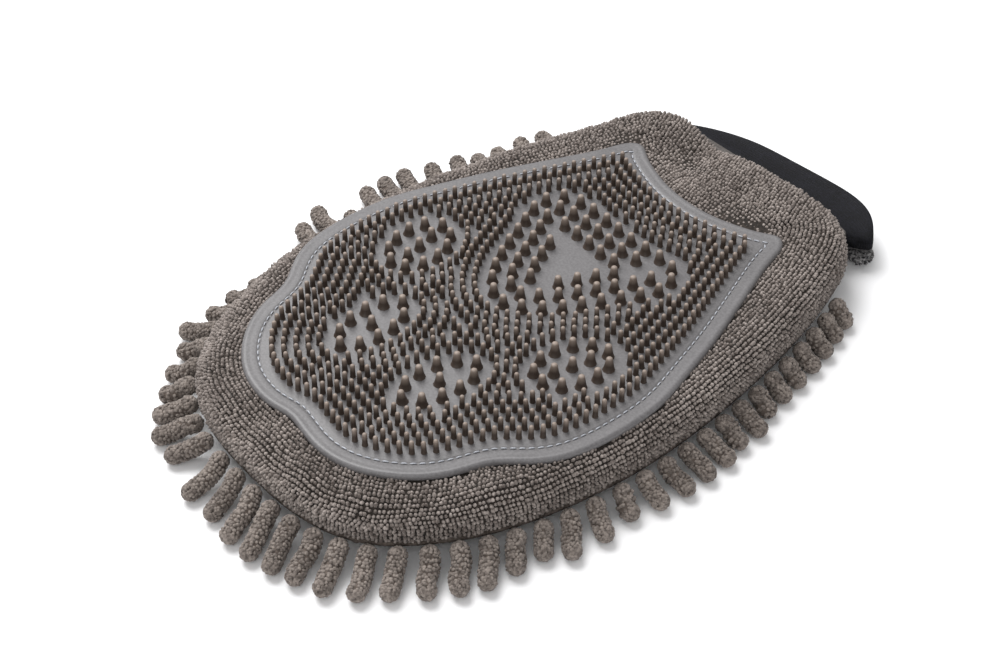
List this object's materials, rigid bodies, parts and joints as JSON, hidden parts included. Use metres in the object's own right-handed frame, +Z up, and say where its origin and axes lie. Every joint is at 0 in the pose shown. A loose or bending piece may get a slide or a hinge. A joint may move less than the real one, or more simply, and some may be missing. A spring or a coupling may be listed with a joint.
{
  "type": "grooming glove",
  "caption": "Pet grooming mitt: terry shell with a paw-shaped rubber nib pad on one face, chenille noodles on the other and round the edge, and an elastic knit cuff.",
  "frame": {"origin": "centre of the mitt's bounding box, on the surface that it lies on", "axes": "+Y towards the wrist, +Z up through the pad, +X to the right when looking at the pad with the fingers pointing towards the viewer, that is down the page"},
  "size_m": [0.1944, 0.271, 0.0288],
  "materials": {
    "taupe_terry": "looped microfibre terry, matt",
    "taupe_chenille": "fuzzy chenille, matt",
    "taupe_base_cloth": "plain knit, matt",
    "grey_lining": "thin mesh, matt",
    "pad_rubber": "soft moulded rubber, satin",
    "nib_rubber": "soft moulded rubber, satin",
    "silver_thread": "polyester thread, slight sheen",
    "seam_thread": "overlock thread, matt",
    "black_knit": "ribbed elastic knit, matt",
    "mottled_overlock": "grey and black overlock loops, matt"
  },
  "bodies": {
    "mitt": {"grooming_pad": "pad_rubber", "pad_small_nibs": "nib_rubber", "pad_large_cones": "nib_rubber", "pad_stitching": "silver_thread", "terry_front_panel": "taupe_terry", "front_lining": "grey_lining", "back_lining": "grey_lining", "side_seam": "seam_thread", "chenille_base_panel": "taupe_base_cloth", "wrist_hem": "black_knit", "underside_noodles_fingers": "taupe_chenille", "underside_noodles_palm": "taupe_chenille", "underside_noodles_wrist": "taupe_chenille"},
    "cuff": {"elastic_cuff": "black_knit", "serged_edge": "mottled_overlock"},
    "tuft_left_wrist": {"fringe_left_wrist": "taupe_chenille"},
    "tuft_left_middle": {"fringe_left_middle": "taupe_chenille"},
    "tuft_left_finger": {"fringe_left_finger": "taupe_chenille"},
    "tuft_tip_left": {"fringe_tip_left": "taupe_chenille"},
    "tuft_tip_right": {"fringe_tip_right": "taupe_chenille"},
    "tuft_right_finger": {"fringe_right_finger": "taupe_chenille"},
    "tuft_right_middle": {"fringe_right_middle": "taupe_chenille"},
    "tuft_right_wrist": {"fringe_right_wrist": "taupe_chenille"}
  },
  "joints": [
    {"name": "cuff_fold", "type": "hinge", "parent": "mitt", "child": "cuff", "pos_m": [0.00541, 0.11598, 0.0168], "axis": [1, 0, 0], "range_deg": [0, 60], "stiffness_Nm_per_rad": 0.002},
    {"name": "lift_left_wrist", "type": "hinge", "parent": "mitt", "child": "tuft_left_wrist", "pos_m": [-0.06215, 0.06151, 0], "axis": [0.2496, 0.9684, 0], "range_deg": [0, 15]},
    {"name": "lift_left_middle", "type": "hinge", "parent": "mitt", "child": "tuft_left_middle", "pos_m": [-0.07165, -0.00215, 0], "axis": [0.0426, 0.9991, 0], "range_deg": [0, 15]},
    {"name": "lift_left_finger", "type": "hinge", "parent": "mitt", "child": "tuft_left_finger", "pos_m": [-0.06323, -0.06508, 0], "axis": [-0.3214, 0.9469, 0], "range_deg": [0, 15]},
    {"name": "lift_tip_left", "type": "hinge", "parent": "mitt", "child": "tuft_tip_left", "pos_m": [-0.02416, -0.10773, 0], "axis": [-0.9338, 0.3578, 0], "range_deg": [0, 15]},
    {"name": "lift_tip_right", "type": "hinge", "parent": "mitt", "child": "tuft_tip_right", "pos_m": [0.03519, -0.10749, 0], "axis": [-0.9303, -0.3669, 0], "range_deg": [0, 15]},
    {"name": "lift_right_finger", "type": "hinge", "parent": "mitt", "child": "tuft_right_finger", "pos_m": [0.07424, -0.06481, 0], "axis": [-0.3164, -0.9486, 0], "range_deg": [0, 15]},
    {"name": "lift_right_middle", "type": "hinge", "parent": "mitt", "child": "tuft_right_middle", "pos_m": [0.08251, -0.00183, 0], "axis": [0.0452, -0.999, 0], "range_deg": [0, 15]},
    {"name": "lift_right_wrist", "type": "hinge", "parent": "mitt", "child": "tuft_right_wrist", "pos_m": [0.07286, 0.06182, 0], "axis": [0.2518, -0.9678, 0], "range_deg": [0, 15]}
  ]
}
